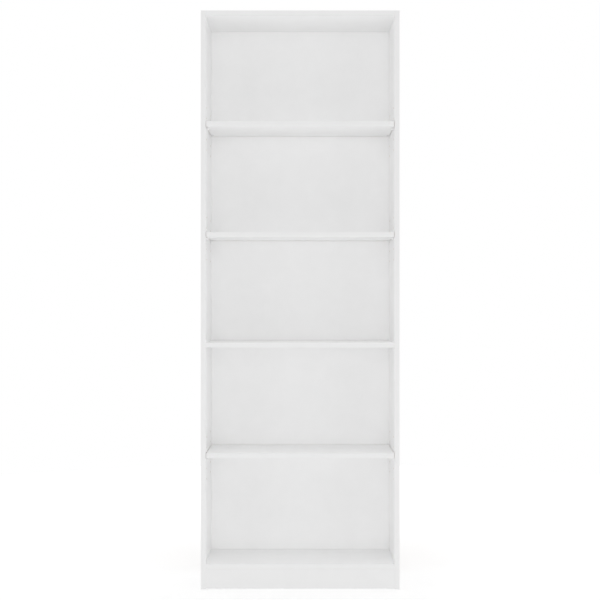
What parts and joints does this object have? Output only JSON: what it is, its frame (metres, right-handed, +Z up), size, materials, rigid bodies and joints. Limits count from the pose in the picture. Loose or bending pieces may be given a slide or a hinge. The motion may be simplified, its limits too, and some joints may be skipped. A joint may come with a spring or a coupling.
{
  "type": "bookcase with adjustable shelves",
  "caption": "Tall narrow open bookcase of white boards, with a closed back, a plinth, and shelves that lie on pins in rows of holes so that their height can be changed.",
  "frame": {"origin": "on the floor, at the middle of the footprint", "axes": "+Z up, +Y towards the wall behind, so the open front faces -Y, and +X to the right as one faces the open front"},
  "size_m": [0.6, 0.24, 1.77],
  "materials": {
    "board": "satin",
    "hardboard": "satin",
    "zinc": "satin",
    "steel": "satin",
    "beech": "matte",
    "pin_plastic": "satin",
    "glide_plastic": "satin",
    "coated_steel": "satin"
  },
  "bodies": {
    "case": {"side_panel_left": "board", "side_panel_right": "board", "top_panel": "board", "bottom_panel": "board", "plinth_board": "board", "shelf_3_fixed": "board", "back_panel": "hardboard", "cam_lock_top_left_front": "zinc", "cam_lock_top_left_rear": "zinc", "cam_lock_top_right_front": "zinc", "cam_lock_top_right_rear": "zinc", "cam_lock_shelf_left_front": "zinc", "cam_lock_shelf_left_rear": "zinc", "cam_lock_shelf_right_front": "zinc", "cam_lock_shelf_right_rear": "zinc", "cam_lock_bottom_left_front": "zinc", "cam_lock_bottom_left_rear": "zinc", "cam_lock_bottom_right_front": "zinc", "cam_lock_bottom_right_rear": "zinc", "cam_bolt_top_left_front": "steel", "cam_bolt_top_left_rear": "steel", "cam_bolt_top_right_front": "steel", "cam_bolt_top_right_rear": "steel", "cam_bolt_shelf_left_front": "steel", "cam_bolt_shelf_left_rear": "steel", "cam_bolt_shelf_right_front": "steel", "cam_bolt_shelf_right_rear": "steel", "cam_bolt_bottom_left_front": "steel", "cam_bolt_bottom_left_rear": "steel", "cam_bolt_bottom_right_front": "steel", "cam_bolt_bottom_right_rear": "steel", "dowel_top_left": "beech", "dowel_top_right": "beech", "dowel_bottom_left": "beech", "dowel_bottom_right": "beech", "dowel_plinth_upper_left": "beech", "dowel_plinth_upper_right": "beech", "dowel_plinth_lower_left": "beech", "dowel_plinth_lower_right": "beech", "glide_left_front": "glide_plastic", "glide_left_rear": "glide_plastic", "glide_right_front": "glide_plastic", "glide_right_rear": "glide_plastic", "wall_bracket": "coated_steel", "bracket_screw": "steel"},
    "shelf_1": {"shelf_1": "board"},
    "shelf_2": {"shelf_2": "board"},
    "shelf_4": {"shelf_4": "board"},
    "shelf_pin_1_left_front": {"shelf_pin_1_left_front": "pin_plastic"},
    "shelf_pin_1_left_rear": {"shelf_pin_1_left_rear": "pin_plastic"},
    "shelf_pin_1_right_front": {"shelf_pin_1_right_front": "pin_plastic"},
    "shelf_pin_1_right_rear": {"shelf_pin_1_right_rear": "pin_plastic"},
    "shelf_pin_2_left_front": {"shelf_pin_2_left_front": "pin_plastic"},
    "shelf_pin_2_left_rear": {"shelf_pin_2_left_rear": "pin_plastic"},
    "shelf_pin_2_right_front": {"shelf_pin_2_right_front": "pin_plastic"},
    "shelf_pin_2_right_rear": {"shelf_pin_2_right_rear": "pin_plastic"},
    "shelf_pin_4_left_front": {"shelf_pin_4_left_front": "pin_plastic"},
    "shelf_pin_4_left_rear": {"shelf_pin_4_left_rear": "pin_plastic"},
    "shelf_pin_4_right_front": {"shelf_pin_4_right_front": "pin_plastic"},
    "shelf_pin_4_right_rear": {"shelf_pin_4_right_rear": "pin_plastic"}
  },
  "joints": [
    {"name": "shelf_1_lift", "type": "slide", "parent": "case", "child": "shelf_1", "axis": [0, 0, 1], "range_m": [0, 0.064]},
    {"name": "shelf_2_lift", "type": "slide", "parent": "case", "child": "shelf_2", "axis": [0, 0, 1], "range_m": [0, 0.064]},
    {"name": "shelf_4_lift", "type": "slide", "parent": "case", "child": "shelf_4", "axis": [0, 0, 1], "range_m": [0, 0.064]},
    {"name": "pin_1_left_front_pull", "type": "slide", "parent": "case", "child": "shelf_pin_1_left_front", "axis": [1, 0, 0], "range_m": [0, 0.01]},
    {"name": "pin_1_left_rear_pull", "type": "slide", "parent": "case", "child": "shelf_pin_1_left_rear", "axis": [1, 0, 0], "range_m": [0, 0.01]},
    {"name": "pin_1_right_front_pull", "type": "slide", "parent": "case", "child": "shelf_pin_1_right_front", "axis": [-1, 0, 0], "range_m": [0, 0.01]},
    {"name": "pin_1_right_rear_pull", "type": "slide", "parent": "case", "child": "shelf_pin_1_right_rear", "axis": [-1, 0, 0], "range_m": [0, 0.01]},
    {"name": "pin_2_left_front_pull", "type": "slide", "parent": "case", "child": "shelf_pin_2_left_front", "axis": [1, 0, 0], "range_m": [0, 0.01]},
    {"name": "pin_2_left_rear_pull", "type": "slide", "parent": "case", "child": "shelf_pin_2_left_rear", "axis": [1, 0, 0], "range_m": [0, 0.01]},
    {"name": "pin_2_right_front_pull", "type": "slide", "parent": "case", "child": "shelf_pin_2_right_front", "axis": [-1, 0, 0], "range_m": [0, 0.01]},
    {"name": "pin_2_right_rear_pull", "type": "slide", "parent": "case", "child": "shelf_pin_2_right_rear", "axis": [-1, 0, 0], "range_m": [0, 0.01]},
    {"name": "pin_4_left_front_pull", "type": "slide", "parent": "case", "child": "shelf_pin_4_left_front", "axis": [1, 0, 0], "range_m": [0, 0.01]},
    {"name": "pin_4_left_rear_pull", "type": "slide", "parent": "case", "child": "shelf_pin_4_left_rear", "axis": [1, 0, 0], "range_m": [0, 0.01]},
    {"name": "pin_4_right_front_pull", "type": "slide", "parent": "case", "child": "shelf_pin_4_right_front", "axis": [-1, 0, 0], "range_m": [0, 0.01]},
    {"name": "pin_4_right_rear_pull", "type": "slide", "parent": "case", "child": "shelf_pin_4_right_rear", "axis": [-1, 0, 0], "range_m": [0, 0.01]}
  ]
}
